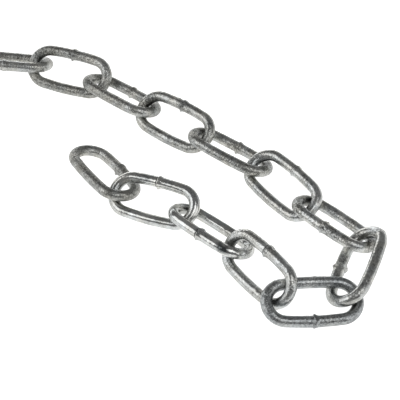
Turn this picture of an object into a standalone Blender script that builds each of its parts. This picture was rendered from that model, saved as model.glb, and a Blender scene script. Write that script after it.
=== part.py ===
"""A one-metre length of hot-dip galvanised long-link chain, laid on a level floor with one end folded back."""
import math

import bpy
import numpy as np
from mathutils import Euler

# One link, in metres: wire with its zinc, pitch (the inside length) and outside width of its round ends.
# A long side bows out between them, and meets each end turned by SIDE_TURN.
WIRE = 0.0062
PITCH = 0.042
END_WIDTH = 0.0265
SIDE_TURN = math.radians(5)
LINKS = 24

# Two wires that touch are left GAP apart, to within SEAT
GAP = 0.0003
SEAT = 0.0001
PATH_STEP = 0.0008

# The butt weld in the middle of one long side is a raised ring round the wire
WELD_SWELL = 1.12
WELD_HALF = 0.0010
WELD_FADE = 0.0011

# The wire is drawn with flats, so that a long side can rest on one, straight for RESTING_HALF each way
WIRE_FLATS = 12
CROWN_STEPS = 8
FLAT_HALF_ANGLE = math.pi / WIRE_FLATS
CORNER_RADIUS = WIRE / 2 / math.cos(FLAT_HALF_ANGLE)

END_RADIUS = (END_WIDTH - WIRE) / 2
HALF_SIDE = (PITCH + WIRE) / 2 - END_RADIUS
BOWED_SIDE = END_RADIUS + HALF_SIDE * math.tan(SIDE_TURN / 2)
RESTING_HALF = 0.0055

# How the folded end lies, link by link from the loose end. In degrees: heading, lean up to the left
# and rise of the far end. In millimetres: slack from pulled tight and step to the left.
FOLDED_END = [
    (-56, -18, 5, 0.0, 0.0),
    (-24, 30, 4.5, 3.3, 0.3),
    (-40, -29, -1.5, 3.4, -1.8),
    (-53, 52, 3, 3.0, -2.6),
    (8, 18, -6, 3.7, -7.2),
    (68.5, -33.5, 4.5, 2.9, 2.8),
    (137, 26, 1, 1.3, 2.0),
    (128.5, -27, 0.5, 2.1, 0.1),
    (145, 26, 3.5, 2.5, 0.6),
    (141.5, -33, -2, 1.7, -0.4),
    (141, 25, -1, 1.3, 1.1),
    (159, -37.5, -1, 3.9, -0.7),
    (171.5, 27, -0.5, 2.0, -1.7),
]

# The rest runs on almost straight, each link on the flat that leans the other way from the one before it.
# Their headings turn slowly and sway a little on the way, never the same from one link to the next.
TAIL_HEADING = 174
TAIL_TURN = 1
TAIL_SWAY = 2
SWAY_RHYTHM = 2.2
TAIL_LEAN = 30
TAIL_SLACK = 1.5

# Links welded on the right of their heading, counted from the loose end
WELD_RIGHT = (3, 5, 8, 9, 10, 11, 12, 14, 16, 18, 20, 22, 24)

ZINC = (0.42, 0.42, 0.41)
ZINC_METALLIC = 0.85
ZINC_ROUGHNESS = 0.48


def clear_scene():
    for obj in list(bpy.data.objects):
        bpy.data.objects.remove(obj, do_unlink=True)


def link_path():
    """Points round the middle of the wire in the link's own plane, each with the wire's swell there."""
    points = []
    for end in (1, -1):
        for step in range(CROWN_STEPS + 1):
            angle = (math.pi - 2 * SIDE_TURN) * (step / CROWN_STEPS - 0.5)
            x = end * (HALF_SIDE + END_RADIUS * math.cos(angle))
            y = end * END_RADIUS * math.sin(angle)
            points.append((x, y, 1.0))
        points.append((end * RESTING_HALF, end * BOWED_SIDE, 1.0))
        if end == 1:
            points.append((WELD_HALF + WELD_FADE, BOWED_SIDE, 1.0))
            points.append((WELD_HALF, BOWED_SIDE, WELD_SWELL))
            points.append((-WELD_HALF, BOWED_SIDE, WELD_SWELL))
            points.append((-WELD_HALF - WELD_FADE, BOWED_SIDE, 1.0))
        points.append((-end * RESTING_HALF, end * BOWED_SIDE, 1.0))
    return points


def zinc_material():
    material = bpy.data.materials.new("zinc_steel")
    material.use_nodes = True
    shader = material.node_tree.nodes["Principled BSDF"]
    shader.inputs["Base Color"].default_value = (*ZINC, 1)
    shader.inputs["Metallic"].default_value = ZINC_METALLIC
    shader.inputs["Roughness"].default_value = ZINC_ROUGHNESS
    return material


def link_mesh():
    """One link: a closed wire whose flats face straight up, down and sideways, welded on its left."""
    curve = bpy.data.curves.new("wire", "CURVE")
    curve.dimensions = "3D"
    curve.bevel_depth = CORNER_RADIUS
    curve.bevel_resolution = WIRE_FLATS // 2 - 2
    curve.materials.append(zinc_material())
    path = link_path()
    spline = curve.splines.new("POLY")
    spline.points.add(len(path) - 1)
    spline.use_cyclic_u = True
    for point, (x, y, swell) in zip(spline.points, path):
        point.co = (x, y, 0, 1)
        point.radius = swell
        point.tilt = FLAT_HALF_ANGLE
    wire = bpy.data.objects.new("wire", curve)
    bpy.context.scene.collection.objects.link(wire)
    graph = bpy.context.evaluated_depsgraph_get()
    mesh = bpy.data.meshes.new_from_object(wire.evaluated_get(graph))
    mesh.name = "link"
    bpy.data.objects.remove(wire, do_unlink=True)
    return mesh


def link_rotation(heading, lean, rise):
    return Euler((math.radians(lean), math.radians(-rise), math.radians(heading)), "XYZ")


def turned(points, rotation):
    return points @ np.array(rotation.to_matrix()).T


def floor_heading(rotation):
    return np.array(rotation.to_matrix().col[0])[:2]


def fine_path():
    """Points under a millimetre apart along the middle of the drawn wire."""
    corners = np.array([(x, y, 0) for x, y, swell in link_path()])
    points = []
    for start, end in zip(corners, np.roll(corners, -1, axis=0)):
        count = math.ceil(np.linalg.norm(end - start) / PATH_STEP)
        points.extend(start + (end - start) * np.arange(count)[:, None] / count)
    return np.array(points)


def nearest(held, wire):
    """How far two wires are apart, and the direction from the first to the second there."""
    between = wire[None] - held[:, None]
    lengths = np.linalg.norm(between, axis=2)
    closest = np.unravel_index(lengths.argmin(), lengths.shape)
    return lengths[closest] - 2 * CORNER_RADIUS, between[closest] / lengths[closest]


def settled(held, wire, place):
    """Where a link comes to rest against the one that holds it: just clear of it, never under the floor."""
    floor = place[2]
    for _ in range(400):
        apart, away = nearest(held, wire + place)
        if 0 <= apart - GAP < SEAT:
            break
        place = place + away * (GAP + SEAT / 2 - apart) / 2
        place[2] = max(place[2], floor)
    return place


def lay_of_links():
    """Heading, lean, rise, slack and step of every link."""
    rows = list(FOLDED_END)
    for number in range(LINKS - len(FOLDED_END)):
        heading = TAIL_HEADING + TAIL_TURN * number + TAIL_SWAY * math.sin(SWAY_RHYTHM * number)
        lean = TAIL_LEAN if number % 2 else -TAIL_LEAN
        rows.append((heading, lean, 0, TAIL_SLACK, 0))
    return rows


def place_links(mesh):
    """Stands each link on the floor and hangs it in the one before. Gives its rotation and centre."""
    corners = np.array([vertex.co for vertex in mesh.vertices])
    path = fine_path()
    placed = []
    for number, (heading, lean, rise, slack, step) in enumerate(lay_of_links(), 1):
        rotation = link_rotation(heading, lean, rise)
        weld_side = (1, -1, -1) if number in WELD_RIGHT else (1, 1, 1)
        height = -turned(corners * weld_side, rotation)[:, 2].min()
        place = np.array([0, 0, height])
        if placed:
            last_rotation, last_place = placed[-1]
            pull = (floor_heading(last_rotation) + floor_heading(rotation)) / 2 * PITCH
            ahead = pull / np.linalg.norm(pull)
            left = np.array([-ahead[1], ahead[0]])
            place[:2] = last_place[:2] + pull - ahead * slack / 1000 + left * step / 1000
            held = turned(path, last_rotation) + last_place
            place = settled(held, turned(path, rotation), place)
        placed.append((rotation, place))
    return placed


def main():
    clear_scene()
    mesh = link_mesh()
    placed = place_links(mesh)
    corners = np.array([vertex.co for vertex in mesh.vertices])
    reach = np.concatenate([turned(corners, rotation) + place for rotation, place in placed])
    middle = (reach.min(axis=0) + reach.max(axis=0)) / 2
    chain = bpy.data.collections.new("steel_chain")
    bpy.context.scene.collection.children.link(chain)
    for number, (rotation, place) in enumerate(placed, 1):
        if number in WELD_RIGHT:
            rotation.x += math.pi
        link = bpy.data.objects.new(f"link_{number:02d}", mesh)
        link.location = (place[0] - middle[0], place[1] - middle[1], place[2])
        link.rotation_euler = rotation
        chain.objects.link(link)


main()
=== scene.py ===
import math
import random

import bmesh
import bpy
import numpy as np
from mathutils import Matrix, Vector


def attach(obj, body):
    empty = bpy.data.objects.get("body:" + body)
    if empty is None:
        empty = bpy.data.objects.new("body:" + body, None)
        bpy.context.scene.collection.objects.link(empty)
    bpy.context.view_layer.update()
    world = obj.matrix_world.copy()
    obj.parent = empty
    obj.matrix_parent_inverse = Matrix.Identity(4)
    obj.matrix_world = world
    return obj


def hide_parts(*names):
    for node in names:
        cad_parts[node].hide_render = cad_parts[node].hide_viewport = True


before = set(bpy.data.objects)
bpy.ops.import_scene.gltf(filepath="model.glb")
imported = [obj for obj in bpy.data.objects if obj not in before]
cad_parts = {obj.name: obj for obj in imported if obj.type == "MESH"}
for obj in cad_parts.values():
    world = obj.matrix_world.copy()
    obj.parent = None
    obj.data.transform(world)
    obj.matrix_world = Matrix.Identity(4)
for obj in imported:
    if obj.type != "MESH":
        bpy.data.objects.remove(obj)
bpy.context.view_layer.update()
linkNames = sorted(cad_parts)
print("frame loaded,", len(linkNames), "links")

# the chain's own measures, as a user would change them
linkLook = {
    "aroundSteps": 48,       # faces round the wire
    "bendSteps": 144,        # faces round the ring that the round ends are cut from
    "sideSteps": 66,         # faces along a long side, an even number
    "sideTurn": 5,           # degrees that a long side has turned where it meets the round end
    "weldReach": 0.004,      # the link's measures are read this far from its weld
    "fingerTip": 0.00030,    # a lump is pulled out by the points this near to its spot
    # painted shade darkens the inside of the round ends where the next link nests, this far from their middle
    # and this near to the next link's wire
    "paintedShadeArea": (0.0050, 0.0085), "paintedShadeReach": 0.0050,
    # dark smears: their spot on the link, y being towards its weld, their reach, and length to width
    "smears": {"link_03": ((0.0166, 0.0130, -0.0010), 0.0048)}, "smearStretch": 2,
    # frozen drips: how many, their size, height to size, and the share of them on the long sides
    "drips": 8, "dripSize": (0.0008, 0.0019), "dripHeight": 0.16, "dripsOnSides": 0.45,
    "dripBend": 1.2, "dripTurn": 1.9,    # in radians, their spread along a round end and round its wire
    # the coat's unevenness: size of the cells, then its depth on each kind of zinc
    "coatCells": {"coatWaves": 0.0060, "coatGrain": 0.0012},
    "coatDepths": {"zincBright": (0.00012, 0.00002), "zincPlain": (0.00015, 0.00005),
                   "zincSpeckled": (0.00020, 0.00008), "zincGrainy": (0.00015, 0.00008),
                   "zincSatin": (0.00013, 0.00004), "zincDark": (0.00013, 0.00004)},
    "seed": 12,
}

weldLook = {
    "reach": 0.0024,         # the rings are twice as close together this far from the weld
    # ring of points, 0 being the side's middle, and its swell: a sharp step at one end, thin at the other
    "collar": ((-9, 1), (-8, 1), (-7, 1), (-6, 0.98), (-5, 0.94), (-4, 1.10), (-3, 1.17), (-2, 1.175),
               (-1, 1.155), (0, 1.135), (1, 1.115), (2, 1.10), (3, 1.085), (4, 1.07), (5, 1.058),
               (6, 1.046), (8, 1.03), (10, 1.014)),
    "size": (0.80, 1.10),    # the share of that swell a link gets
    # the dark of the seam: its ring, how many rings it reaches each way, and how dark it is
    "seam": (-5, 1.5, 0.6), "seamFlat": 1.6,    # over 1, the middle of the seam is evenly dark
    "ownSeams": {"link_02": (-5, 1.6, 0.9), "link_03": (-5.5, 2.2, 1), "link_04": (-5.5, 2.2, 1),
                 "link_05": (-5, 1.5, 0.2), "link_06": (-5, 1.5, 0.3)},
    # burrs squeezed out of the weld: place along, turn round the wire (180 is inside the link), height, reach
    "burrs": ((-0.0008, 180, 0.00040, 0.0012), (0.0008, 0, 0.00020, 0.0014)),
    "ownBurrs": {
        "link_01": ((-0.0008, -132, 0.00045, 0.0012), (0.0010, 48, 0.00020, 0.0014)),
        "link_02": ((-0.0002, -168, 0.00050, 0.0015), (0.0002, 12, 0.00012, 0.0012)),
        "link_03": ((0.0009, -115, 0.00040, 0.0013), (-0.0009, 65, 0.00035, 0.0012)),
        "link_04": ((-0.0009, 159, 0.00040, 0.0014), (0.0008, -21, 0.00020, 0.0016)),
        "link_05": ((0.0000, -154, 0.00035, 0.0013), (0.0004, -64, 0.00025, 0.0010)),
        "link_06": ((0.0010, -129, 0.00120, 0.0026), (-0.0022, -112, 0.00080, 0.0020),
                    (-0.0006, 51, 0.00045, 0.0013), (0.0002, 150, 0.00040, 0.0012)),
        "link_07": ((0.0008, -118, 0.00060, 0.0011), (-0.0010, 62, 0.00025, 0.0010)),
        "link_09": ((-0.0004, -118, 0.00045, 0.0012), (0.0004, 62, 0.00012, 0.0012)),
        "link_11": ((-0.0004, -117, 0.00040, 0.0012), (0.0006, 63, 0.00020, 0.0012)),
    },
}

# links whose zinc is smoother and brighter than most, more speckled, or darker and duller; the rest are plain
unlikeLinks = {
    "zincBright": ("link_02", "link_03", "link_15", "link_19", "link_22"),
    "zincSatin": ("link_04", "link_06", "link_08", "link_14", "link_18"),
    "zincSpeckled": ("link_07", "link_16", "link_23"),
    "zincDark": ("link_05", "link_20"),
    "zincGrainy": ("link_01", "link_11", "link_12", "link_17", "link_21"),
}


def zincKind(name):
    for kind, links in unlikeLinks.items():
        if name in links:
            return kind
    return "zincPlain"


def deselectAll():
    if bpy.context.mode != "OBJECT":
        bpy.ops.object.mode_set(mode="OBJECT")
    bpy.ops.object.select_all(action="DESELECT")


def pickOnly(piece):
    deselectAll()
    piece.select_set(True)
    bpy.context.view_layer.objects.active = piece


def editOnly(piece, kind):
    pickOnly(piece)
    bpy.ops.object.mode_set(mode="EDIT")
    bpy.ops.mesh.select_mode(type=kind)
    bpy.ops.mesh.select_all(action="DESELECT")


def pickVerts(piece, test):
    mesh = bmesh.from_edit_mesh(piece.data)
    for vert in mesh.verts:
        vert.select = test(vert.co)
    mesh.select_flush_mode()
    bmesh.update_edit_mesh(piece.data)


def pickNumbers(piece, numbers):
    bpy.ops.mesh.select_all(action="DESELECT")
    mesh = bmesh.from_edit_mesh(piece.data)
    mesh.verts.ensure_lookup_table()
    for number in numbers:
        mesh.verts[number].select = True
    mesh.select_flush_mode()
    bmesh.update_edit_mesh(piece.data)


def pickEdges(piece, test):
    bpy.ops.mesh.select_all(action="DESELECT")
    mesh = bmesh.from_edit_mesh(piece.data)
    for edge in mesh.edges:
        edge.select = test(edge)
    bmesh.update_edit_mesh(piece.data)


def pickFaces(piece, test):
    bpy.ops.mesh.select_all(action="DESELECT")
    mesh = bmesh.from_edit_mesh(piece.data)
    for face in mesh.faces:
        face.select = test(face.calc_center_median())
    bmesh.update_edit_mesh(piece.data)


def linkPlace(nodeName, weldReach):
    # the link's own directions: x along it, y across it towards the weld, z through its thickness
    corners = np.array([vert.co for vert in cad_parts[nodeName].data.vertices], float)
    corners = np.unique(np.round(corners, 7), axis=0)
    middle = corners.mean(axis=0)
    spread, ways = np.linalg.eigh(np.cov((corners - middle).T))
    alongWay, acrossWay = ways[:, 2], ways[:, 1]
    if alongWay[0] < 0:
        alongWay = -alongWay
    seen = (corners - middle) @ np.array([alongWay, acrossWay]).T
    plain = np.abs(seen[:, 0]) > weldReach
    high, low = seen[plain, 1].max(), seen[plain, 1].min()
    if seen[:, 1].max() - high < low - seen[:, 1].min():
        acrossWay = -acrossWay
    axes = np.array([alongWay, acrossWay, np.cross(alongWay, acrossWay)])
    seen = (corners - middle) @ axes.T
    lowest, highest = seen[plain].min(axis=0), seen[plain].max(axis=0)
    centre = middle + ((lowest + highest) / 2) @ axes
    place = Matrix.Identity(4)
    for k in range(3):
        for row in range(3):
            place[row][k] = axes[k][row]
        place[k][3] = centre[k]
    return place, (highest - lowest) / 2


places = {}
for name in linkNames:
    places[name], reach = linkPlace(name, linkLook["weldReach"])
wireRadius = reach[2]
halfLength, bowedSide = reach[0] - wireRadius, reach[1] - wireRadius
sideTurn = math.radians(linkLook["sideTurn"])
bowSlope = math.tan(sideTurn / 2)
endRadius = (bowedSide - halfLength * bowSlope) / (1 - bowSlope)
halfSide = halfLength - endRadius
# where a long side begins, and how far it bows out between there and its middle
sideStart = halfSide + endRadius * math.sin(sideTurn)
sideBow = bowedSide - endRadius * math.cos(sideTurn)
ringGap = sideStart / linkLook["sideSteps"]
print("wire %.2f mm, end radius %.2f mm, side bowed out %.2f mm"
      % (wireRadius * 2000, endRadius * 1000, sideBow * 1000))


def modelLink():
    # a ring with its top and bottom cut out, its two ends drawn apart, the sides bridged and bowed
    deselectAll()
    bpy.ops.mesh.primitive_torus_add(
        align="WORLD", location=(0, 0, 0), major_radius=endRadius, minor_radius=wireRadius,
        major_segments=linkLook["bendSteps"], minor_segments=linkLook["aroundSteps"])
    link = bpy.context.object
    link.name = "chainLink"
    editOnly(link, "FACE")
    pickFaces(link, lambda spot: abs(spot.x) < abs(spot.y) * math.tan(sideTurn))
    bpy.ops.mesh.delete(type="FACE")
    for way in (1, -1):
        pickFaces(link, lambda spot: spot.x * way > 0)
        bpy.ops.transform.translate(value=(halfSide * way, 0, 0))
    bpy.ops.mesh.select_mode(type="EDGE")
    for way in (1, -1):
        pickEdges(link, lambda edge: edge.is_boundary and edge.verts[0].co.y * way > 0)
        bpy.ops.mesh.bridge_edge_loops(number_cuts=linkLook["sideSteps"] - 1, interpolation="LINEAR")
    bpy.ops.mesh.select_all(action="SELECT")
    bpy.ops.mesh.remove_doubles(threshold=1e-6)
    bpy.ops.mesh.normals_make_consistent(inside=False)
    bpy.ops.mesh.select_mode(type="VERT")
    for way in (1, -1):
        pickVerts(link, lambda place: abs(place.x) < 1e-6 and place.y * way > 0)
        bpy.ops.transform.translate(
            value=(0, sideBow * way, 0), use_proportional_edit=True, use_proportional_connected=True,
            proportional_edit_falloff="INVERSE_SQUARE", proportional_size=sideStart)
    bpy.ops.object.mode_set(mode="OBJECT")
    return link


def sideHeight(along):
    # how far the middle of a side's wire is from the link's long axis there
    return bowedSide - sideBow * (along / sideStart) ** 2


def pushSpot(piece, spot, push, reach):
    # a soft lump: the nearest points are pushed and drag their neighbours along
    pickVerts(piece, lambda place: (place - spot).length < linkLook["fingerTip"])
    bpy.ops.transform.translate(value=push, use_proportional_edit=True,
                                proportional_edit_falloff="SMOOTH", proportional_size=reach)


def onWire(along, side, turn):
    # a spot on the skin of a long side and the way out of the wire there; turn 0 faces out of the link
    out = Vector((0, math.cos(turn) * side, math.sin(turn)))
    return Vector((along, sideHeight(along) * side, 0)) + out * wireRadius, out


def closeRings(link):
    # twice as many rings of points round the weld
    editOnly(link, "EDGE")
    pickEdges(link, lambda edge: edge.verts[0].co.y > 0
              and abs(edge.verts[0].co.x - edge.verts[1].co.x) > 1e-5
              and max(abs(vert.co.x) for vert in edge.verts) < weldLook["reach"])
    bpy.ops.mesh.subdivide(number_cuts=1)
    bpy.ops.object.mode_set(mode="OBJECT")
    rings = {ring: [] for ring, swell in weldLook["collar"]}
    for vert in link.data.vertices:
        ring = round(vert.co.x / ringGap)
        if vert.co.y > 0 and ring in rings and abs(vert.co.x - ring * ringGap) < ringGap / 3:
            rings[ring].append(vert.index)
    return rings


def forgeWeld(piece, name, rings, luck):
    # one wire end laps over the other in a low collar with burrs on it
    editOnly(piece, "VERT")
    for along, turn, height, reach in weldLook["ownBurrs"].get(name, weldLook["burrs"]):
        spot, out = onWire(along, 1, math.radians(turn))
        pushSpot(piece, spot, out * height, reach)
    size = luck.uniform(*weldLook["size"])
    for ring, swell in weldLook["collar"]:
        swell = 1 + (swell - 1) * size
        pickNumbers(piece, rings[ring])
        bpy.ops.transform.resize(value=(1, swell, swell), center_override=(0, sideHeight(ring * ringGap), 0))
    bpy.ops.object.mode_set(mode="OBJECT")


def wireMiddle():
    # points along the middle of a link's wire
    spots = []
    for way in (1, -1):
        for k in range(25):
            bend = (math.pi / 2 - sideTurn) * (k / 12 - 1)
            spots.append((way * (halfSide + endRadius * math.cos(bend)), endRadius * math.sin(bend), 0))
        for k in range(1, 30):
            along = sideStart * (k / 15 - 1)
            spots.append((along, way * sideHeight(along), 0))
    return spots


def paintShadePoints(piece, name):
    # painted shade where links nest: how near each point inside the round ends is to the link threaded
    # through there
    points = np.array([vert.co for vert in piece.data.vertices])
    place = np.array(places[name])
    own = np.abs((points - place[:3, 3]) @ place[:3, :3])
    inside = np.linalg.norm(own - (halfSide + endRadius - wireRadius, 0, 0), axis=1)
    full, end = linkLook["paintedShadeArea"]
    inside = np.clip((end - inside) / (end - full), 0, 1)
    nearest = np.full(len(points), 1.0)
    here = linkNames.index(name)
    for other in linkNames[max(0, here - 1):here + 2]:
        if other != name:
            middle = np.array([places[other] @ Vector(spot) for spot in wireMiddle()])
            away = (points ** 2).sum(axis=1)[:, None] + (middle ** 2).sum(axis=1) - 2 * points @ middle.T
            nearest = np.minimum(nearest, np.sqrt(away.min(axis=1)) - wireRadius)
    paintedShadeLayer = piece.data.attributes.new("paintedShade", "FLOAT", "POINT")
    paintedShadeLayer.data.foreach_set("value", inside * np.clip(1 - nearest / linkLook["paintedShadeReach"], 0, 1))


def darkenSeam(piece, name, rings):
    # the dark line where the two wire ends meet
    middle, reach, dark = weldLook["ownSeams"].get(name, weldLook["seam"])
    flat = weldLook["seamFlat"]
    seam = piece.data.attributes.new("seam", "FLOAT", "POINT")
    for ring, numbers in rings.items():
        for number in numbers:
            seam.data[number].value = dark * min(1, max(0, flat - flat * abs(ring - middle) / reach))


def smearLink(piece, name):
    # how near each point is to the middle of the link's smear, if it has one
    spot, reach = linkLook["smears"].get(name, ((0, 0, 0), 0))
    smear = piece.data.attributes.new("smeared", "FLOAT", "POINT")
    if reach:
        shorter = Vector((1 / linkLook["smearStretch"], 1, 1))
        away = [(vert.co - Vector(spot)) * shorter for vert in piece.data.vertices]
        smear.data.foreach_set("value", [max(0, 1 - step.length / reach) for step in away])


def copyLink(model, name):
    twin = model.copy()
    twin.data = model.data.copy()
    twin.name = twin.data.name = name
    bpy.context.scene.collection.objects.link(twin)
    return twin


def addDrips(piece, luck):
    # frozen zinc lumps, never the same on two links
    editOnly(piece, "VERT")
    for k in range(linkLook["drips"]):
        way = luck.choice((-1, 1))
        if luck.random() < linkLook["dripsOnSides"]:
            spot, out = onWire(luck.uniform(-1, 1) * halfSide, way, luck.uniform(-math.pi, math.pi))
        else:
            bend = luck.uniform(-linkLook["dripBend"], linkLook["dripBend"])
            turn = luck.uniform(-linkLook["dripTurn"], linkLook["dripTurn"])
            away = Vector((math.cos(bend) * way, math.sin(bend), 0))
            out = away * math.cos(turn) + Vector((0, 0, math.sin(turn)))
            spot = Vector((halfSide * way, 0, 0)) + away * endRadius + out * wireRadius
        size = luck.uniform(*linkLook["dripSize"])
        pushSpot(piece, spot, out * size * linkLook["dripHeight"], size)
    bpy.ops.object.mode_set(mode="OBJECT")


def roughen(piece, kind):
    # the coat's own unevenness, cut into the mesh in two sizes
    pickOnly(piece)
    for cloud, depth in zip(zincClouds, linkLook["coatDepths"][kind]):
        bpy.ops.object.modifier_add(type="DISPLACE")
        coat = piece.modifiers[-1]
        coat.texture, coat.texture_coords = cloud, "LOCAL"
        coat.strength, coat.mid_level = depth, 0.5
        bpy.ops.object.modifier_apply(modifier=coat.name)
    bpy.ops.object.shade_smooth()


zincClouds = []
for name, size in linkLook["coatCells"].items():
    cloud = bpy.data.textures.new(name, "CLOUDS")
    cloud.noise_scale, cloud.noise_depth, cloud.cloud_type = size, 2, "GRAYSCALE"
    zincClouds.append(cloud)

link = modelLink()
weldRings = closeRings(link)
luck = random.Random(linkLook["seed"])
chain = {}
for name in linkNames:
    piece = copyLink(link, name.replace("link", "chainLink"))
    forgeWeld(piece, name, weldRings, luck)
    darkenSeam(piece, name, weldRings)
    smearLink(piece, name)
    addDrips(piece, luck)
    piece.data.transform(places[name])
    roughen(piece, zincKind(name))
    paintShadePoints(piece, name)
    chain[name] = piece
bpy.data.objects.remove(link)
print("links modelled")

zincLook = {
    "seam": (0.04, 0.04, 0.037, 1),
    # painted shade inside the round ends where the next link nests: its colour, its share and the value at
    # which it is full
    "paintedShadeColour": (0.035, 0.035, 0.032, 1), "paintedShadeShare": 0.78, "paintedShadeFull": 0.8,
    "smear": (0.09, 0.105, 0.112, 1), "smearShare": 0.9, "smearEdge": (0.75, 1.25),
    "blueTint": (0.965, 0.995, 1.02, 1), "warmTint": (1.015, 1.0, 0.955, 1), "tintRange": (0.35, 0.65),
    "glossRange": (0.3, 0.7),
    # cells to the metre
    "crystalSize": 1300, "grainSize": 980, "lumpSize": 300, "tintSize": 120, "patchSize": 95,
}
# what differs from one kind of zinc to the next: greys is where the speckle turns from dark to middle grey,
# bloom is where the light patches begin, where they are full and how light, and the last three are depths
zincKinds = {
    "zincBright": {
        "dark": (0.34, 0.342, 0.33, 1), "middle": (0.62, 0.622, 0.605, 1), "light": (0.94, 0.94, 0.925, 1),
        "greys": (0.30, 0.62), "bloom": (0.40, 0.68, 0.75),
        "warmth": (0, 0.8), "metallic": 0.97, "rough": (0.04, 0.14),
        "crystals": 0.00002, "grain": 0.00005, "lumps": 0.00008,
    },
    "zincPlain": {
        "dark": (0.20, 0.202, 0.192, 1), "middle": (0.53, 0.532, 0.515, 1), "light": (0.92, 0.92, 0.905, 1),
        "greys": (0.29, 0.62), "bloom": (0.48, 0.72, 0.8),
        "warmth": (0.1, 1), "metallic": 0.90, "rough": (0.14, 0.28),
        "crystals": 0.00009, "grain": 0.00013, "lumps": 0.00007,
    },
    "zincSpeckled": {
        "dark": (0.20, 0.202, 0.192, 1), "middle": (0.60, 0.602, 0.585, 1), "light": (0.95, 0.95, 0.935, 1),
        "greys": (0.34, 0.60), "bloom": (0.48, 0.72, 0.8),
        "warmth": (0, 0.9), "metallic": 0.92, "rough": (0.08, 0.22),
        "crystals": 0.00009, "grain": 0.00014, "lumps": 0.00014,
    },
    "zincSatin": {
        "dark": (0.29, 0.292, 0.282, 1), "middle": (0.63, 0.632, 0.617, 1), "light": (0.94, 0.94, 0.925, 1),
        "greys": (0.30, 0.64), "bloom": (0.42, 0.70, 0.7),
        "warmth": (0, 0.8), "metallic": 0.94, "rough": (0.14, 0.25),
        "crystals": 0.00006, "grain": 0.00010, "lumps": 0.00007,
    },
    "zincDark": {
        "dark": (0.22, 0.226, 0.227, 1), "middle": (0.54, 0.548, 0.546, 1), "light": (0.90, 0.905, 0.90, 1),
        "greys": (0.28, 0.66), "bloom": (0.50, 0.76, 0.6),
        "warmth": (0, 0.4), "metallic": 0.90, "rough": (0.17, 0.29),
        "crystals": 0.00007, "grain": 0.00011, "lumps": 0.00006,
    },
    "zincGrainy": {
        "dark": (0.19, 0.192, 0.182, 1), "middle": (0.46, 0.462, 0.445, 1), "light": (0.90, 0.90, 0.885, 1),
        "greys": (0.28, 0.64), "bloom": (0.50, 0.76, 0.7),
        "warmth": (0.2, 1), "metallic": 0.88, "rough": (0.14, 0.28),
        "crystals": 0.00012, "grain": 0.00016, "lumps": 0.00005,
    },
}


def addNode(tree, kind, place, **values):
    node = tree.nodes.new(kind)
    node.location = (place[0] * 220, place[1] * -200)
    for name, value in values.items():
        if hasattr(node, name):
            setattr(node, name, value)
        else:
            node.inputs[name.replace("_", " ")].default_value = value
    return node


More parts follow.
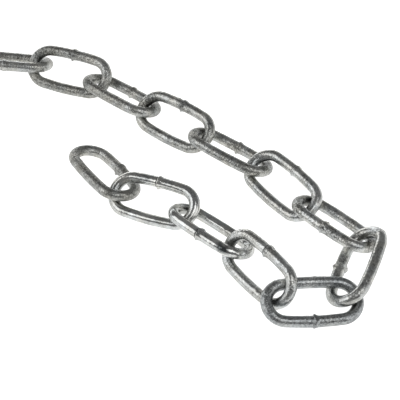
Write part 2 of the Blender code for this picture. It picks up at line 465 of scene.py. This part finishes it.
def makeZinc(name, kind):
    finish = bpy.data.materials.new(name)
    finish.use_nodes = True
    tree = finish.node_tree
    shader = tree.nodes["Principled BSDF"]
    shader.location = (800, 0)
    tree.nodes["Material Output"].location = (1100, 0)
    join = tree.links.new
    coords = addNode(tree, "ShaderNodeTexCoord", (-8, 0))

    def noise(size, place, detail, rough=0.5):
        made = addNode(tree, "ShaderNodeTexNoise", place, Scale=size, Detail=detail, Roughness=rough)
        join(coords.outputs["Object"], made.inputs["Vector"])
        return made.outputs["Fac"]

    def spread(value, place, start, to):
        made = addNode(tree, "ShaderNodeMapRange", place)
        made.inputs["From Min"].default_value, made.inputs["From Max"].default_value = start
        made.inputs["To Min"].default_value, made.inputs["To Max"].default_value = to
        join(value, made.inputs["Value"])
        return made.outputs["Result"]

    def mixColours(share, place, first, second):
        made = addNode(tree, "ShaderNodeMix", place, data_type="RGBA")
        join(share, made.inputs[0])
        for socket, colour in ((made.inputs[6], first), (made.inputs[7], second)):
            if isinstance(colour, tuple):
                socket.default_value = colour
            else:
                join(colour, socket)
        return made.outputs[2]

    def bump(height, place, depth, under=None):
        made = addNode(tree, "ShaderNodeBump", place, Strength=1.0, Distance=depth)
        join(height, made.inputs["Height"])
        if under:
            join(under, made.inputs["Normal"])
        return made.outputs["Normal"]

    crystals = addNode(tree, "ShaderNodeTexVoronoi", (-7, -1), Scale=zincLook["crystalSize"])
    join(coords.outputs["Object"], crystals.inputs["Vector"])
    grain = noise(zincLook["grainSize"], (-7, 0), 4, 0.6)
    patch = noise(zincLook["patchSize"], (-7, 1), 3)
    lumps = noise(zincLook["lumpSize"], (-7, 2), 3, 0.6)

    # colour: small crystals from dark to middle grey, lighter in patches and darkened with painted shade
    # where the next link lies
    both = addNode(tree, "ShaderNodeMix", (-5, 0), data_type="FLOAT")
    both.inputs[0].default_value = 0.5
    join(grain, both.inputs[2])
    join(crystals.outputs["Color"], both.inputs[3])
    speckle = spread(both.outputs[0], (-4, 0), kind["greys"], (0, 1))
    colour = mixColours(speckle, (-3, 0), kind["dark"], kind["middle"])
    first, full, share = kind["bloom"]
    bloom = spread(patch, (-4, 1), (first, full), (0, share))
    colour = mixColours(bloom, (-2, 0), colour, kind["light"])
    # painted shade: the colour is darkened inside the round ends where the next link's wire lies
    paintedShadeLayer = addNode(tree, "ShaderNodeAttribute", (-4, 3), attribute_name="paintedShade")
    paintedShadeMask = spread(paintedShadeLayer.outputs["Fac"], (-2, 3), (0, zincLook["paintedShadeFull"]), (0, zincLook["paintedShadeShare"]))
    colour = mixColours(paintedShadeMask, (-1, 0), colour, zincLook["paintedShadeColour"])
    seam = addNode(tree, "ShaderNodeAttribute", (-4, 5), attribute_name="seam")
    colour = mixColours(seam.outputs["Fac"], (0, 0), colour, zincLook["seam"])

    # dark smears with a ragged edge
    smear = addNode(tree, "ShaderNodeAttribute", (-4, 6), attribute_name="smeared")
    ragged = addNode(tree, "ShaderNodeMath", (-3, 6), operation="ADD")
    join(smear.outputs["Fac"], ragged.inputs[0])
    join(lumps, ragged.inputs[1])
    smeared = spread(ragged.outputs[0], (-2, 6), zincLook["smearEdge"], (0, zincLook["smearShare"]))
    colour = mixColours(smeared, (1, 0), colour, zincLook["smear"])

    # a trace warmer in some places and bluer in others
    tint = noise(zincLook["tintSize"], (-7, 3), 2)
    tint = spread(tint, (-4, 7), zincLook["tintRange"], kind["warmth"])
    tint = mixColours(tint, (-3, 7), zincLook["blueTint"], zincLook["warmTint"])
    tinted = addNode(tree, "ShaderNodeMix", (2, 0), data_type="RGBA", blend_type="MULTIPLY")
    tinted.inputs[0].default_value = 1
    join(colour, tinted.inputs[6])
    join(tint, tinted.inputs[7])
    join(tinted.outputs[2], shader.inputs["Base Color"])

    # gloss: duller in patches
    join(spread(lumps, (-2, 2), zincLook["glossRange"], kind["rough"]), shader.inputs["Roughness"])
    shader.inputs["Metallic"].default_value = kind["metallic"]

    # bump: coarse lumps under a fine grain with pits between the crystals
    normal = bump(lumps, (-3, 4), kind["lumps"])
    normal = bump(grain, (-2, 4), kind["grain"], normal)
    join(bump(crystals.outputs["Distance"], (-1, 4), kind["crystals"], normal), shader.inputs["Normal"])
    return finish


finishes = {name: makeZinc(name, kind) for name, kind in zincKinds.items()}
for name, piece in chain.items():
    piece.data.materials.clear()
    piece.data.materials.append(finishes[zincKind(name)])
    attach(piece, "root")
    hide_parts(name)
print("zinc laid on")

cameraLook = {
    "lens": 119.07, "sensor": 36,          # mm
    "distance": 0.739,
    "aimX": 0.2444, "aimY": -0.0225,       # the spot on the floor in the middle of the picture
    "elevation": 46.08, "turn": 0.39, "roll": -0.27,
}


def placeCamera(look):
    rise, turn = math.radians(look["elevation"]), math.radians(look["turn"])
    back = Vector((math.sin(turn) * math.cos(rise), -math.cos(turn) * math.cos(rise), math.sin(rise)))
    bpy.ops.object.camera_add(location=Vector((look["aimX"], look["aimY"], 0)) + back * look["distance"])
    camera = bpy.context.object
    camera.rotation_mode = "QUATERNION"
    camera.rotation_quaternion = ((-back).to_track_quat("-Z", "Y")
                                  @ Matrix.Rotation(math.radians(look["roll"]), 3, "Z").to_quaternion())
    camera.data.lens = look["lens"]
    camera.data.sensor_width = look["sensor"]
    camera.data.clip_start = 0.01
    bpy.context.scene.camera = camera


deselectAll()
placeCamera(cameraLook)

floorLook = {
    "size": 16, "rough": 0.9, "shine": 0.1,
    # colour, glow and whether it is the floor that is seen (1) or the dimmer one that only reflects (0)
    "floor": ((0.9, 0.9, 0.89, 1), 0.95, 1),
    "dimFloor": ((0.55, 0.55, 0.54, 1), 0.68, 0),
    "gap": 0.00005,
}


def layFloor(name, look, low):
    colour, glow, seen = look[name]
    bpy.ops.mesh.primitive_plane_add(size=look["size"], location=(0, 0, 0))
    floor = bpy.context.object
    floor.name = name
    bpy.ops.object.mode_set(mode="EDIT")
    bpy.ops.transform.translate(value=(0, 0, low if seen else low + look["gap"]))
    bpy.ops.object.mode_set(mode="OBJECT")
    if not seen:
        floor.visible_camera = floor.visible_diffuse = floor.visible_shadow = False
    paper = bpy.data.materials.new(name)
    paper.use_nodes = True
    shader = paper.node_tree.nodes["Principled BSDF"]
    shader.inputs["Base Color"].default_value = colour
    shader.inputs["Roughness"].default_value = look["rough"]
    shader.inputs["Specular IOR Level"].default_value = look["shine"]
    shader.inputs["Emission Color"].default_value = (1, 1, 1, 1)
    shader.inputs["Emission Strength"].default_value = glow
    floor.data.materials.append(paper)


lightLook = {
    # compass way (0 is the camera's side, 90 the right) and height in degrees, distance, size and brightness
    "topRight": (32, 58, 1.3, 0.87, 0.69, 1.25),
    "left": (-84, 33, 1.3, 1.24, 0.96, 1.14),
    "right": (64, 22, 1.3, 1.05, 0.74, 0.83),
    "backLeft": (-155, 8, 1.3, 1.30, 0.40, 1.0),
}


def hangLights(look):
    aim = Vector((cameraLook["aimX"], cameraLook["aimY"], 0))
    for name, (compass, height, distance, width, depth, brightness) in look.items():
        compass, height = math.radians(compass), math.radians(height)
        way = Vector((math.sin(compass) * math.cos(height), -math.cos(compass) * math.cos(height),
                      math.sin(height)))
        bpy.ops.object.light_add(type="AREA", location=aim + way * distance)
        lamp = bpy.context.object
        lamp.name = name + "Light"
        lamp.rotation_mode = "QUATERNION"
        lamp.rotation_quaternion = way.to_track_quat("Z", "Y")
        lamp.data.shape = "RECTANGLE"
        lamp.data.size, lamp.data.size_y = width, depth
        lamp.data.energy = brightness * math.pi * width * depth
        lamp.visible_camera = False


worldLook = {
    # how bright the room is overhead, and low down in front of the chain and behind it
    "above": 0.155, "front": 0.24, "behind": 1.0,
    "fade": (0.02, 0.35),    # the low band fades into the overhead between these heights
}


def tintWorld(look):
    world = bpy.data.worlds.new("studio")
    bpy.context.scene.world = world
    world.use_nodes = True
    tree = world.node_tree
    back = tree.nodes["Background"]
    coords = addNode(tree, "ShaderNodeTexCoord", (-4, 0))
    height = addNode(tree, "ShaderNodeSeparateXYZ", (-3, 0))
    tree.links.new(coords.outputs["Generated"], height.inputs[0])
    fall = addNode(tree, "ShaderNodeMapRange", (-2, 0), interpolation_type="SMOOTHSTEP")
    fall.inputs["From Min"].default_value, fall.inputs["From Max"].default_value = look["fade"]
    fall.inputs["To Max"].default_value = look["above"]
    around = addNode(tree, "ShaderNodeMapRange", (-2, 1))
    around.inputs["From Min"].default_value = -1
    around.inputs["To Min"].default_value = look["front"]
    around.inputs["To Max"].default_value = look["behind"]
    tree.links.new(height.outputs["Y"], around.inputs["Value"])
    tree.links.new(around.outputs["Result"], fall.inputs["To Min"])
    tree.links.new(height.outputs["Z"], fall.inputs["Value"])
    back.inputs["Color"].default_value = (1, 1, 1, 1)
    tree.links.new(fall.outputs["Result"], back.inputs["Strength"])


chainLow = min(min(vert.co.z for vert in piece.data.vertices) for piece in chain.values())
layFloor("floor", floorLook, chainLow)
layFloor("dimFloor", floorLook, chainLow)
hangLights(lightLook)
tintWorld(worldLook)
bpy.context.scene.view_settings.view_transform = "Standard"
print("floor, lights and camera set")
